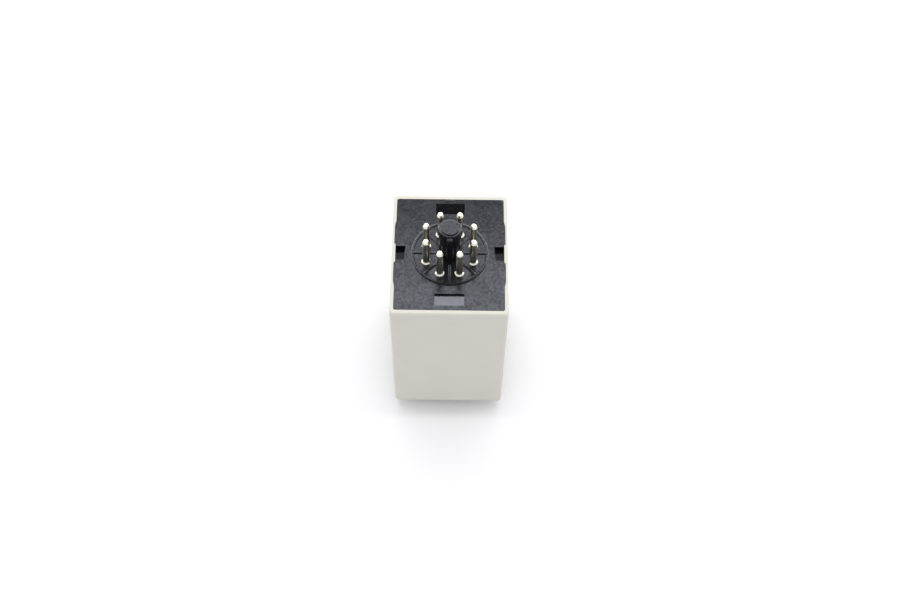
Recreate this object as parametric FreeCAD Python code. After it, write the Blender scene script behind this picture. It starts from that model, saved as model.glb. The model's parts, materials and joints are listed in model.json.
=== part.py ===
import FreeCAD, Part
import math
import os

# Plug-in timer relay: an ivory case closed by a black eight-pin octal plug, with a setting knob
# on its front. Lengths are in millimetres. The object stands on its knob: Z points up, out of the
# plug, the table is Z 0, and X 0, Y 0 is the axis of the knob and of the plug. The key of the
# plug's centre post points along -Y.

V = FreeCAD.Vector
X_AXIS = V(1, 0, 0)
Z_AXIS = V(0, 0, 1)
OUT = "parts"
SINK = 0.5                # how far a moulded detail is sunk into what it grows from
PAST = 1.0                # how far a cut runs past a face
CLOSE = 0.01              # edges and faces nearer than this to a level lie in it

# Case: a deep moulding, widest at the mouth that takes the plug
CASE_X = 40.0
CASE_Y = 50.0
CASE_DEPTH = 59.7
CASE_DRAFT = 0.5          # taken off each side from mouth to front
CASE_CORNER = 1.2
INNER_CORNER = 0.6
SIDE_WALL = 2.0
END_WALL = 2.4
FRONT_WALL = 2.0
RIM_BEVEL = 0.45
FRONT_BEVEL = 0.45

# Plug plate in the mouth of the case
RIM_X = 1.35              # rim of the case outside the plate, at the sides
RIM_Y = 1.8               # and at the ends
PLATE_X = CASE_X - 2 * RIM_X
PLATE_Y = CASE_Y - 2 * RIM_Y
PLATE_T = 3.0
PLATE_CORNER = 0.6
PLATE_CLEAR = 0.1
LUG_PROUD = 0.45
LUG_START = 3.8           # from the middle of the side
LUG_END = 11.6
LUG_RAMP = 2.2
LIP_DEPTH = 2.6
LIP_WALL = 1.2
LIP_CLEAR = 0.2
LIP_X = CASE_X / 2 - SIDE_WALL - LIP_CLEAR
LIP_Y = CASE_Y / 2 - END_WALL - LIP_CLEAR
POCKET_X = 10.2
POCKET_EDGE = 1.8         # from the plate's end to a pocket
POCKET_Y = 4.7
KEY_POCKET_DEPTH = 0.85   # of the level pocket on the key's side
GRIP_POCKET_DEPTH = 1.8   # of the sloping finger pocket, at its end nearer the middle
PRY_X = 3.3
PRY_Y = 0.8
PRY_DEPTH = 0.8

# Latches: barbs on the plate's lip snap into pockets in the case's side walls. A blade put in a
# notch in the plate's side springs the wall out.
NOTCH_Y = 5.8
NOTCH_REACH_FAR = 3.35    # from the plate's edge inward, at the +Y end
NOTCH_REACH_NEAR = 2.9
NOTCH_DEPTH = 2.2
BARB_Y = 3.0
BARB_START = 5.4          # from the middle of the side
BARB_PROUD = 0.65
BARB_LAND = 0.5
BARB_DROP = 1.0           # from the plate's underside
BARB_CLEAR = 0.05         # over a barb
BARB_ROOM = 0.1           # about the rest of it

# Octal plug: ring, ribs and keyed post moulded with the plate
PIN_CIRCLE_R = 8.725
PIN_COUNT = 8
PIN_R = 1.18
PIN_LENGTH = 11.7
PIN_TIP_INWARD = 0.4      # the taper of its tip
PIN_TIP_TAPER = 0.9
PIN_ROOT_W = 1.7          # its square root, through the plate and down to the base board
PIN_HOLE_CLEAR = 0.02
FLANGE_R = 1.62           # foot of the flared collar on the plate
FLANGE_T = 0.42
FIRST_PIN_DEG = 247.5
RING_R = 13.35
RING_W = 1.05
RING_H = 0.45
RING_EDGE = 0.38          # width of its sloping edges
RIB_W = 0.9
RIB_H = 0.36
RIB_EDGE = 0.35
EDGE_SLOPE = 0.4          # fall over width of these edges
POST_R = 3.85
POST_H = 14.9
POST_DISC_R = 3.1
POST_STEP = 0.45
POST_EDGE = 0.3
DISC_EDGE = 0.2
KEY_W = 1.8
KEY_PROUD = 0.95
KEY_DROP = 1.0            # the key stops this far below the post's top
KEY_CHAMFER = 0.3

# Circuit boards
BOARD_T = 1.6
STANDOFF_H = 3.0
STANDOFF_W = 3.4
STANDOFF_INSET_X = 6.65
STANDOFF_INSET_Y = 5.2
STANDOFF_X = PLATE_X / 2 - STANDOFF_INSET_X
STANDOFF_Y = PLATE_Y / 2 - STANDOFF_INSET_Y
MOUTH_X = CASE_X - 2 * SIDE_WALL
MOUTH_Y = CASE_Y - 2 * END_WALL
BASE_CLEAR_X = 0.7        # from each edge of the base board to the mouth
BASE_CLEAR_Y = 1.6
BASE_BOARD_X = MOUTH_X - 2 * BASE_CLEAR_X
BASE_BOARD_Y = MOUTH_Y - 2 * BASE_CLEAR_Y
FRONT_CLEAR = 1.2
FRONT_BOARD_X = MOUTH_X - 2 * FRONT_CLEAR
FRONT_BOARD_Y = MOUTH_Y - 2 * FRONT_CLEAR
BOARD_CHAMFER = 1.5
UPRIGHT_GAP = 2.4         # between an upright board and the side wall
UPRIGHT_X = MOUTH_X / 2 - UPRIGHT_GAP - BOARD_T
UPRIGHT_CLEAR_Y = 1.3
UPRIGHT_Y = MOUTH_Y - 2 * UPRIGHT_CLEAR_Y
TAB_Y = 6.0
TAB_SPACING = 24.0
TAB_PAST_BOARD = 0.4
SLOT_CLEAR = 0.1
GUIDE_W = 1.0
GUIDE_REACH = 2.0
GUIDE_CLEAR = 0.15
GUIDE_STOP = 1.0
LEAD_W = 0.6

# Posts in the case that carry the front board
PILLAR_W = 3.2
PILLAR_H = 11.0
PILLAR_ASIDE = 7.0        # from the lamps' place toward the middle
PILLAR_INWARD = 1.0

# Setting knob
KNOB_PROUD = 4.7
KNOB_GAP = 0.4
KNOB_R = 13.5
KNOB_WALL = 1.5
KNOB_CAP = 1.8
KNOB_EDGE = 0.8
KNOB_RIDGES = 24
RIDGE_H = 0.4
RIDGE_SHARE = 0.35        # of a ridge's step, along its top; its foot is as wide
RIDGE_FLANK = 0.15
KNOB_WEBS = 4
WEB_T = 1.0
WEB_DROP = 1.4
BOSS_R = 4.8
BOSS_SHORT = 0.9          # from the boss's inner end to the potentiometer's bush
BOSS_HOLE_CLEAR = 0.3
POINTER_W = 1.0
POINTER_DEPTH = 0.35
POINTER_START = 5.5
POINTER_END = 11.5

# Potentiometer
SHAFT_R = 3.0
SHAFT_FIT = 0.04
SHAFT_FLAT = 1.5          # depth of the flat that drives the knob
SHAFT_TIP = 2.6           # height of the shaft's end above the table
FLAT_PAST = 0.2           # past the boss's inner end
BORE_CLEAR = 0.02
POT_W = 14.0
POT_H = 6.5
POT_WALL = 0.8
BUSH_R = 4.2
BUSH_H = 1.9
WAFER_T = 1.2
ROTOR_R = 5.6
ROTOR_T = 1.2
ROTOR_GAP = 0.5
WIPER_W = 1.6
WIPER_T = 0.3
WIPER_GAP = 0.15

# Signal lamps and their windows
LAMP_INSET_X = 7.5        # from the case's sides at the mouth
LAMP_INSET_Y = 6.0
LAMP_X = CASE_X / 2 - LAMP_INSET_X
LAMP_Y = CASE_Y / 2 - LAMP_INSET_Y
LAMP_W = 4.4
LAMP_T = 2.0
LAMP_H = 6.0
LAMP_GAP = 0.3
LAMP_PITCH = 2.54
LENS_X = 5.0
LENS_Y = 2.6
LENS_FLANGE = 0.5
LENS_FLANGE_T = 0.8
LENS_CLEAR = 0.05

# Levels, worked out from the sizes above
Z_FRONT = KNOB_PROUD
Z_INSIDE = Z_FRONT + FRONT_WALL
Z_RIM = Z_FRONT + CASE_DEPTH
Z_UNDER = Z_RIM - PLATE_T
Z_BASE_BOARD = Z_UNDER - STANDOFF_H - BOARD_T
Z_FRONT_BOARD = Z_INSIDE + PILLAR_H
Z_DECK = Z_FRONT_BOARD + BOARD_T
Z_POT = Z_FRONT_BOARD - POT_H
BOSS_END = Z_POT - BUSH_H - BOSS_SHORT
FLAT_END = BOSS_END + FLAT_PAST

# Room on the upright boards: half their length, and their height over the front board.
# A rise is a height over the front board.
BOARD_END = UPRIGHT_Y / 2
BOARD_RISE = Z_BASE_BOARD - Z_DECK

# Capacitors on the power board, at its -Y end, one above the other
FILTER_SHARE = 0.1381     # of the room's height, as the radius of its can
FILTER_R = FILTER_SHARE * BOARD_RISE
FILTER_SHORT = 2.5        # from the can's top to the middle of the case
TIMING_LESS = 1.0         # how much smaller the timing capacitor's radius is
TIMING_SHORT = 3.0
TIMING_R = FILTER_R - TIMING_LESS
CAP_LOW = 1.4
CAP_GAP = 1.0
CAP_END = 3.3             # from the board's end
CAP_AT_Y = CAP_END + FILTER_R - BOARD_END
FILTER_H = UPRIGHT_X - FILTER_SHORT
TIMING_H = UPRIGHT_X - TIMING_SHORT
FILTER_RISE = CAP_LOW + FILTER_R
TIMING_RISE = FILTER_RISE + FILTER_R + CAP_GAP + TIMING_R

# Diodes above them
DIODE_COUNT = 4
DIODE_MARGIN = 2.5        # from the timing capacitor, and from the base board, to the outer axes
DIODE_GAP = 1.0
DIODE_FIRST = TIMING_RISE + TIMING_R + DIODE_MARGIN
DIODE_STEP = (BOARD_RISE - DIODE_MARGIN - DIODE_FIRST) / (DIODE_COUNT - 1)
DIODE_Y = 4.4
DIODE_Z = DIODE_STEP - DIODE_GAP
DIODE_T = 2.2
DIODE_FOOT = 0.5          # its flat leads, past each end and thick off the board

# Transformer on the rest of the power board
CORE_GAP = 3.5            # from the capacitors
CORE_EDGE = 1.8           # from the board's end
CORE_START = CAP_AT_Y + FILTER_R + CORE_GAP
CORE_END = BOARD_END - CORE_EDGE
CORE_Y = CORE_END - CORE_START
CORE_SHARE = 0.5525       # of the room's height
CORE_Z = CORE_SHARE * BOARD_RISE
CORE_LEG = CORE_Y / 6     # outer legs and yokes; the centre leg is twice as wide
CORE_STACK = 8.5
COIL_CLEAR = 0.1
BOBBIN_WALL = 0.7
CHEEK_T = 0.8
CHEEK_REACH = 8.3         # from the coil's axis to the board
CHEEK_Y = CORE_Y / 2 - CORE_LEG - 2 * COIL_CLEAR
WINDING_INSET = 0.3
WINDING_CORNER = 1.4
TRANSFORMER_Y = (CORE_START + CORE_END) / 2
TRANSFORMER_LIFT = 0.3    # over the middle of the room
TRANSFORMER_RISE = BOARD_RISE / 2 + TRANSFORMER_LIFT

# Surge absorber under the transformer
DISC_LOW = 0.8
DISC_GAP = 0.4
DISC_R = (TRANSFORMER_RISE - CORE_Z / 2 - DISC_GAP - DISC_LOW) / 2
DISC_T = 3.2
DISC_LIFT = 1.0
DISC_SPAN = 5.0
DISC_ASIDE = 4.5          # from the transformer's middle
DISC_Y = TRANSFORMER_Y + DISC_ASIDE
DISC_RISE = DISC_LOW + DISC_R

# Relay on the relay board
RELAY_START = 6.85        # from the middle, toward -Y
RELAY_MARGIN = 1.75       # from the board's end
RELAY_EDGE = BOARD_END - RELAY_MARGIN
RELAY_LOW = 3.5
RELAY_TOP_GAP = 3.7
RELAY_PAST_AXIS = 1.7
RELAY_H = UPRIGHT_X + RELAY_PAST_AXIS
RELAY_Y = RELAY_EDGE - RELAY_START
RELAY_Z = BOARD_RISE - RELAY_LOW - RELAY_TOP_GAP
RELAY_BEVEL = 0.5
RELAY_AT_Y = -(RELAY_START + RELAY_EDGE) / 2
RELAY_RISE = RELAY_LOW + RELAY_Z / 2

# Film capacitor
FILM_SHORT = 5.0          # from its face to the middle of the case
FILM_H = UPRIGHT_X - FILM_SHORT
FILM_Y = 5.0
FILM_Z = 13.0
FILM_AT_Y = -2.0
FILM_RISE = 10.0

# Timing circuit, with as many legs as there is room for under the chips
IC_PITCH = 2.54
IC_HEADROOM = 18.4
IC_PINS = int((BOARD_RISE - IC_HEADROOM) / IC_PITCH)
IC_PAST_PINS = 1.52
IC_Z = IC_PINS * IC_PITCH + IC_PAST_PINS
IC_Y = 6.4
IC_T = 3.3
IC_STANDOFF = 0.5
IC_ROW = 7.62
IC_LEG = 0.5
IC_SLANT = 0.3
IC_NOTCH = 1.0            # half the width of the notch in its end, and its length
IC_NOTCH_DEPTH = 0.6
IC_INSET = 9.3            # from the board's end to its middle
IC_LOW = 3.75
IC_AT_Y = BOARD_END - IC_INSET
IC_RISE = IC_LOW + IC_Z / 2

# Chip resistors over it, in a square of three by three
CHIP_Y = 3.2
CHIP_Z = 1.6
CHIP_T = 0.6
CHIP_ROWS = 3
CHIP_STEP_Y = 5.0
CHIP_STEP_Z = 3.0
CHIP_TOP = 3.8            # from the top row to the base board
CHIP_INSET = 8.3          # from the outer column to the board's end
CHIP_YS = [BOARD_END - CHIP_INSET - i * CHIP_STEP_Y for i in range(CHIP_ROWS)]
CHIP_RISES = [BOARD_RISE - CHIP_TOP - i * CHIP_STEP_Z for i in range(CHIP_ROWS)]

# Relay driver
TRANSISTOR_R = 2.3
TRANSISTOR_CUT = 0.9      # its flat, behind the axis
TRANSISTOR_H = 4.6
TRANSISTOR_LIFT = 1.5
TRANSISTOR_PITCH = 1.27
TRANSISTOR_Y = -2.6
TRANSISTOR_RISE = 23.0


def box(x0, x1, y0, y1, z0, z1):
    """A block between two corners."""
    return Part.makeBox(x1 - x0, y1 - y0, z1 - z0, V(x0, y0, z0))


def rod(radius, start, end):
    """A cylinder from one point to another."""
    along = V(*end) - V(*start)
    return Part.makeCylinder(radius, along.Length, V(*start), along)


def post(width, x, y, z0, z1):
    """A square post about an upright axis."""
    return box(x - width / 2, x + width / 2, y - width / 2, y + width / 2, z0, z1)


def prism(points, along):
    """A flat outline of straight edges, drawn along a vector."""
    corners = [V(*p) for p in points]
    return Part.Face(Part.makePolygon(corners + corners[:1])).extrude(V(*along))


def turned(profile, axis_x=0.0, axis_y=0.0):
    """A solid of revolution about an upright axis, from (radius, height) points."""
    corners = [V(axis_x + r, axis_y, z) for r, z in profile]
    face = Part.Face(Part.makePolygon(corners + corners[:1]))
    return face.revolve(V(axis_x, axis_y, 0), Z_AXIS, 360)


def tapered_block(low_x, low_y, z0, high_x, high_y, z1, corner):
    """A block between two rectangles, given by their half sizes, with its four long edges rounded."""
    block = Part.makeWedge(-low_x, z0, -low_y, -high_y, -high_x, low_x, z1, low_y, high_y, high_x)
    block.rotate(V(0, 0, 0), X_AXIS, 90)
    reach = (z1 - z0) / 2
    return block.makeFillet(corner, [e for e in block.Edges if e.BoundBox.ZLength > reach])


def fused(shapes):
    """Several touching solids as one."""
    shapes = list(shapes)
    return shapes[0].multiFuse(shapes[1:]).removeSplitter()


def level_edges(solid, z):
    """The edges that lie flat at a height."""
    return [e for e in solid.Edges if z - CLOSE < e.BoundBox.ZMin and e.BoundBox.ZMax < z + CLOSE]


def upright_edges(solid, x_over, y_over):
    """The vertical edges further out than x_over and y_over, either side."""
    found = []
    for edge in solid.Edges:
        centre = edge.CenterOfMass
        upright = max(edge.BoundBox.XLength, edge.BoundBox.YLength) < CLOSE
        if upright and abs(centre.x) > x_over and abs(centre.y) > y_over:
            found.append(edge)
    return found


def case_half(size, z):
    """Half the outer size of the case at a height."""
    return size / 2 - CASE_DRAFT * (Z_RIM - z) / CASE_DEPTH


def plate_blank(grow, z0, z1):
    """The plug plate's outline with its side lugs, as a block."""
    side = PLATE_X / 2 + grow
    lug = side + LUG_PROUD
    end = PLATE_Y / 2 + grow
    half = [
        (side, LUG_START),
        (lug, LUG_START),
        (lug, LUG_END),
        (side, LUG_END + LUG_RAMP),
        (side, end),
    ]
    right = [(x, -y) for x, y in reversed(half)] + half
    left = [(-x, -y) for x, y in right]
    block = prism([(x, y, z0) for x, y in right + left], (0, 0, z1 - z0))
    corners = upright_edges(block, side - CLOSE, end - CLOSE)
    return block.makeFillet(PLATE_CORNER + grow, corners)


def octal_spots():
    """Places of pins 1 to 8, clockwise when seen from the pins' side."""
    for i in range(PIN_COUNT):
        angle = math.radians(FIRST_PIN_DEG - i * 360 / PIN_COUNT)
        yield PIN_CIRCLE_R * math.cos(angle), PIN_CIRCLE_R * math.sin(angle)


def four_ways(x, y):
    """The same place in the four quarters."""
    return [(x, y), (-x, y), (-x, -y), (x, -y)]


def barb_spots():
    """The middle of each barb, on the lip's outer face."""
    return four_ways(LIP_X, BARB_START + BARB_Y / 2)


# Case

def barb_pocket(x, y):
    """The pocket in a side wall that a barb snaps into."""
    x0, x1 = sorted((x, x + math.copysign(BARB_PROUD + BARB_ROOM, x)))
    half = BARB_Y / 2 + BARB_ROOM
    low = Z_UNDER - LIP_DEPTH - BARB_ROOM
    return box(x0, x1, y - half, y + half, low, Z_UNDER - BARB_DROP + BARB_CLEAR)


def guide_ribs():
    """Pairs of ribs on the end walls that hold the edges of the upright boards."""
    middle = UPRIGHT_X + BOARD_T / 2
    offset = BOARD_T / 2 + GUIDE_CLEAR + GUIDE_W / 2
    top = Z_BASE_BOARD - GUIDE_STOP
    outer = case_half(CASE_Y, Z_DECK) - END_WALL + 2 * SINK
    inner = case_half(CASE_Y, Z_DECK) - END_WALL - GUIDE_REACH
    for board in (-middle, middle):
        for x in (board - offset, board + offset):
            for end in (-1, 1):
                y0, y1 = sorted((end * inner, end * outer))
                yield box(x - GUIDE_W / 2, x + GUIDE_W / 2, y0, y1, Z_DECK + GUIDE_STOP, top)


def make_case():
    front_x = case_half(CASE_X, Z_FRONT)
    front_y = case_half(CASE_Y, Z_FRONT)
    outer = tapered_block(front_x, front_y, Z_FRONT, CASE_X / 2, CASE_Y / 2, Z_RIM, CASE_CORNER)
    outer = outer.makeChamfer(FRONT_BEVEL, level_edges(outer, Z_FRONT))
    outer = outer.makeChamfer(RIM_BEVEL, level_edges(outer, Z_RIM))
    inside_x = case_half(CASE_X, Z_INSIDE) - SIDE_WALL
    inside_y = case_half(CASE_Y, Z_INSIDE) - END_WALL
    mouth_x = CASE_X / 2 - SIDE_WALL
    mouth_y = CASE_Y / 2 - END_WALL
    inner = tapered_block(inside_x, inside_y, Z_INSIDE, mouth_x, mouth_y, Z_RIM, INNER_CORNER)
    shell = outer.cut(inner).cut(plate_blank(PLATE_CLEAR, Z_UNDER, Z_RIM + PAST))
    pillars = [
        post(PILLAR_W, x, y, Z_INSIDE - SINK, Z_FRONT_BOARD)
        for x, y in four_ways(LAMP_X - PILLAR_ASIDE, LAMP_Y - PILLAR_INWARD)
    ]
    shell = fused([shell, *guide_ribs(), *pillars])
    boss_hole = rod(BOSS_R + BOSS_HOLE_CLEAR, (0, 0, Z_FRONT - PAST), (0, 0, Z_INSIDE + PAST))
    windows = [lens_block(x, LENS_CLEAR, Z_FRONT - PAST, Z_INSIDE + PAST) for x in (-LAMP_X, LAMP_X)]
    pockets = [barb_pocket(x, y) for x, y in barb_spots()]
    return shell.cut(Part.makeCompound([boss_hole, *windows, *pockets]))


# Plug

def end_pocket(side, outer_depth, inner_depth):
    """A pocket at an end of the plate, its floor level or sloping down toward the middle."""
    outer = side * (PLATE_Y / 2 - POCKET_EDGE)
    inner = outer - side * POCKET_Y
    top = Z_RIM + PAST
    points = [(outer, Z_RIM - outer_depth), (inner, Z_RIM - inner_depth), (inner, top), (outer, top)]
    return prism([(-POCKET_X / 2, y, z) for y, z in points], (POCKET_X, 0, 0))


def side_notch(side):
    """The notch in a side of the plate, a little wider at its +Y end."""
    edge = PLATE_X / 2 + PAST
    half = NOTCH_Y / 2
    far = PLATE_X / 2 - NOTCH_REACH_FAR
    near = PLATE_X / 2 - NOTCH_REACH_NEAR
    points = [(edge, -half), (edge, half), (far, half), (near, -half)]
    return prism([(side * x, y, Z_RIM - NOTCH_DEPTH) for x, y in points], (0, 0, NOTCH_DEPTH + PAST))


def make_barb(x, y):
    """A snap barb on the lip, flat above and ramped below."""
    inside = x - math.copysign(SINK, x)
    tip = x + math.copysign(BARB_PROUD, x)
    start = y - BARB_Y / 2
    top = Z_UNDER - BARB_DROP
    low = Z_UNDER - LIP_DEPTH
    profile = [
        (inside, start, top),
        (tip, start, top),
        (tip, start, top - BARB_LAND),
        (x, start, low),
        (inside, start, low),
    ]
    return prism(profile, (0, BARB_Y, 0))


def plate_lip():
    """The rim under the plate that centres it in the case."""
    low = Z_UNDER - LIP_DEPTH
    high = Z_UNDER + SINK
    outside = tapered_block(LIP_X, LIP_Y, low, LIP_X, LIP_Y, high, INNER_CORNER)
    x = LIP_X - LIP_WALL
    y = LIP_Y - LIP_WALL
    return outside.cut(box(-x, x, -y, y, low, high))


def low_bead(middle, width, height, edge):
    """The section of a bead on the plate with sloping edges, as (place, height) points."""
    half = width / 2
    foot = Z_RIM - SINK
    top = Z_RIM + height
    shoulder = top - EDGE_SLOPE * edge
    return [
        (middle - half, foot),
        (middle + half, foot),
        (middle + half, shoulder),
        (middle + half - edge, top),
        (middle - half + edge, top),
        (middle - half, shoulder),
    ]


def ring_bead():
    """The low ring about the pins."""
    return turned(low_bead(RING_R - RING_W / 2, RING_W, RING_H, RING_EDGE))


def plug_ribs():
    """Low ribs from the post out to the ring."""
    start = POST_R - SINK
    section = low_bead(0, RIB_W, RIB_H, RIB_EDGE)
    rib = prism([(start, y, z) for y, z in section], (RING_R - RING_W / 2 - start, 0, 0))
    for i in range(PIN_COUNT):
        yield rib.rotated(V(0, 0, 0), Z_AXIS, i * 360 / PIN_COUNT)


def centre_post():
    """The post with its stepped head."""
    top = Z_RIM + POST_H
    step = top - POST_STEP
    return turned([
        (0, Z_RIM - SINK),
        (POST_R, Z_RIM - SINK),
        (POST_R, step - EDGE_SLOPE * POST_EDGE),
        (POST_R - POST_EDGE, step),
        (POST_DISC_R, step),
        (POST_DISC_R, top - EDGE_SLOPE * DISC_EDGE),
        (POST_DISC_R - DISC_EDGE, top),
        (0, top),
    ])


def post_key():
    """The key that lets the plug enter its socket one way only."""
    top = Z_RIM + POST_H - KEY_DROP
    outer = POST_R + KEY_PROUD
    profile = [
        (-KEY_W / 2, SINK - POST_R, Z_RIM - SINK),
        (-KEY_W / 2, -outer, Z_RIM - SINK),
        (-KEY_W / 2, -outer, top - KEY_CHAMFER),
        (-KEY_W / 2, KEY_CHAMFER - outer, top),
        (-KEY_W / 2, SINK - POST_R, top),
    ]
    return prism(profile, (KEY_W, 0, 0))


def make_plug():
    plate = plate_blank(0, Z_UNDER, Z_RIM)
    bosses = [
        post(STANDOFF_W, x, y, Z_UNDER - STANDOFF_H, Z_UNDER + SINK)
        for x, y in four_ways(STANDOFF_X, STANDOFF_Y)
    ]
    barbs = [make_barb(x, y) for x, y in barb_spots()]
    raised = [centre_post(), post_key(), ring_bead(), *plug_ribs()]
    plug = fused([plate, plate_lip(), *barbs, *bosses, *raised])
    cuts = [side_notch(-1), side_notch(1)]
    cuts += [end_pocket(-1, KEY_POCKET_DEPTH, KEY_POCKET_DEPTH), end_pocket(1, 0, GRIP_POCKET_DEPTH)]
    hole = PIN_ROOT_W + 2 * PIN_HOLE_CLEAR
    cuts += [post(hole, x, y, Z_UNDER - PAST, Z_RIM + PAST) for x, y in octal_spots()]
    end = PLATE_Y / 2
    cuts.append(box(-PRY_X / 2, PRY_X / 2, end - PRY_Y, end + PAST, Z_RIM - PRY_DEPTH, Z_RIM + PAST))
    return plug.cut(Part.makeCompound(cuts))


def make_pin(x, y):
    """A pin with a tapered tip, flared on the plate, its square root soldered to the base board."""
    tip = Z_RIM + PIN_LENGTH
    flange = Z_RIM + FLANGE_T
    shank = turned([
        (0, Z_RIM),
        (FLANGE_R, Z_RIM),
        (PIN_R, flange),
        (PIN_R, tip - PIN_TIP_TAPER),
        (PIN_R - PIN_TIP_INWARD, tip),
        (0, tip),
    ], x, y)
    root = post(PIN_ROOT_W, x, y, Z_BASE_BOARD + BOARD_T, flange)
    return fused([shank, root])


# Boards

def tab_spans():
    """The two stretches along Y where an upright board has its tabs."""
    for middle in (-TAB_SPACING / 2, TAB_SPACING / 2):
        yield middle - TAB_Y / 2, middle + TAB_Y / 2


def flat_board(size_x, size_y, z):
    """A level board with clipped corners and slots for the upright boards."""
    x = size_x / 2
    y = size_y / 2
    c = BOARD_CHAMFER
    quarter = [(x - c, -y), (x, c - y), (x, y - c), (x - c, y)]
    outline = quarter + [(-px, -py) for px, py in quarter]
    board = prism([(px, py, z) for px, py in outline], (0, 0, BOARD_T))
    near = UPRIGHT_X - SLOT_CLEAR
    far = UPRIGHT_X + BOARD_T + SLOT_CLEAR
    slots = []
    for side in (-1, 1):
        x0, x1 = sorted((side * near, side * far))
        for y0, y1 in tab_spans():
            slots.append(box(x0, x1, y0 - SLOT_CLEAR, y1 + SLOT_CLEAR, z - PAST, z + BOARD_T + PAST))
    return board.cut(Part.makeCompound(slots))


def make_upright_board(side):
    """A board along a side wall, tabbed into both level boards."""
    x0, x1 = sorted((side * UPRIGHT_X, side * (UPRIGHT_X + BOARD_T)))
    board = box(x0, x1, -UPRIGHT_Y / 2, UPRIGHT_Y / 2, Z_DECK, Z_BASE_BOARD)
    past = BOARD_T + TAB_PAST_BOARD
    tabs = [box(x0, x1, y0, y1, Z_DECK - past, Z_BASE_BOARD + past) for y0, y1 in tab_spans()]
    return fused([board, *tabs])


def board_lead(side, y, z, height):
    """A straight lead from a height over an upright board down to it."""
    half = LEAD_W / 2
    x0, x1 = sorted((side * (UPRIGHT_X - height), side * UPRIGHT_X))
    return box(x0, x1, y - half, y + half, z - half, z + half)


# Power board parts, side -1

def transformer_frame():
    """Centre of the coil in X, and the centre height."""
    return CHEEK_REACH - UPRIGHT_X, Z_DECK + TRANSFORMER_RISE


def make_core():
    """The laminated iron core, a frame with a middle leg through the coil."""
    x, z = transformer_frame()
    y = TRANSFORMER_Y
    half_x = CORE_STACK / 2
    half_y = CORE_Y / 2
    half_z = CORE_Z / 2
    iron = box(x - half_x, x + half_x, y - half_y, y + half_y, z - half_z, z + half_z)
    gap = half_z - CORE_LEG
    windows = [
        box(x - half_x - PAST, x + half_x + PAST, y + y0, y + y1, z - gap, z + gap)
        for y0, y1 in ((CORE_LEG - half_y, -CORE_LEG), (CORE_LEG, half_y - CORE_LEG))
    ]
    return iron.cut(Part.makeCompound(windows))


def coil_block(half_x, half_y, z0, z1):
    """A block about the coil's axis."""
    x, z = transformer_frame()
    y = TRANSFORMER_Y
    return box(x - half_x, x + half_x, y - half_y, y + half_y, z + z0, z + z1)


def make_bobbin():
    """The bobbin: a square tube on the middle leg with three cheeks, resting on the board."""
    reach = CORE_Z / 2 - CORE_LEG - COIL_CLEAR
    bore_x = CORE_STACK / 2 + COIL_CLEAR
    bore_y = CORE_LEG + COIL_CLEAR
    tube = coil_block(bore_x + BOBBIN_WALL, bore_y + BOBBIN_WALL, -reach, reach)
    cheeks = [
        coil_block(CHEEK_REACH, CHEEK_Y, z0, z0 + CHEEK_T)
        for z0 in (-reach, -CHEEK_T / 2, reach - CHEEK_T)
    ]
    return fused([tube, *cheeks]).cut(coil_block(bore_x, bore_y, -reach, reach))


def make_winding(half):
    """One coil of wire, rounded at its corners, in the upper (1) or lower (-1) bay."""
    reach = CORE_Z / 2 - CORE_LEG - COIL_CLEAR
    z0, z1 = sorted((half * CHEEK_T / 2, half * (reach - CHEEK_T)))
    outer = coil_block(CHEEK_REACH - WINDING_INSET, CHEEK_Y - WINDING_INSET, z0, z1)
    corners = [e for e in outer.Edges if e.BoundBox.ZLength > (z1 - z0) / 2]
    outer = outer.makeFillet(WINDING_CORNER, corners)
    bore_x = CORE_STACK / 2 + COIL_CLEAR + BOBBIN_WALL
    bore_y = CORE_LEG + COIL_CLEAR + BOBBIN_WALL
    return outer.cut(coil_block(bore_x, bore_y, z0, z1))


def make_can(radius, height, rise):
    """An electrolytic capacitor: a can standing on the board."""
    z = Z_DECK + rise
    return rod(radius, (-UPRIGHT_X, CAP_AT_Y, z), (height - UPRIGHT_X, CAP_AT_Y, z))


def make_diode(rise):
    """A moulded diode flat on the board, with its leads folded under at the ends."""
    x = -UPRIGHT_X
    y = CAP_AT_Y
    z = Z_DECK + rise
    half_y = DIODE_Y / 2
    half_z = DIODE_Z / 2
    body = box(x + DIODE_FOOT / 2, x + DIODE_T, y - half_y, y + half_y, z - half_z, z + half_z)
    reach = half_y + DIODE_FOOT
    feet = box(x, x + DIODE_FOOT, y - reach, y + reach, z - half_z / 2, z + half_z / 2)
    return fused([body, feet])


def make_diodes():
    return Part.makeCompound([make_diode(DIODE_FIRST + i * DIODE_STEP) for i in range(DIODE_COUNT)])


def make_surge_disc():
    """The surge absorber: a coated disc on edge over the board."""
    x = DISC_R + DISC_LIFT - UPRIGHT_X
    z = Z_DECK + DISC_RISE
    disc = rod(DISC_R, (x, DISC_Y - DISC_T / 2, z), (x, DISC_Y + DISC_T / 2, z))
    leads = [board_lead(-1, DISC_Y, z + dz, DISC_R + DISC_LIFT) for dz in (-DISC_SPAN / 2, DISC_SPAN / 2)]
    return fused([disc, *leads])


# Relay board parts, side 1

def bevelled_box(height, size_y, size_z, y, z):
    """A closed box on the relay board with its far edges bevelled."""
    y0 = y - size_y / 2
    z0 = z - size_z / 2
    block = box(UPRIGHT_X - height, UPRIGHT_X, y0, y0 + size_y, z0, z0 + size_z)
    away = [e for e in block.Edges if e.CenterOfMass.x < UPRIGHT_X - CLOSE]
    return block.makeChamfer(RELAY_BEVEL, away)


def make_relay():
    """The sealed switching relay, one closed can."""
    return bevelled_box(RELAY_H, RELAY_Y, RELAY_Z, RELAY_AT_Y, Z_DECK + RELAY_RISE)


def make_film_capacitor():
    """A film capacitor: a moulded box on the board."""
    return bevelled_box(FILM_H, FILM_Y, FILM_Z, FILM_AT_Y, Z_DECK + FILM_RISE)


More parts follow.
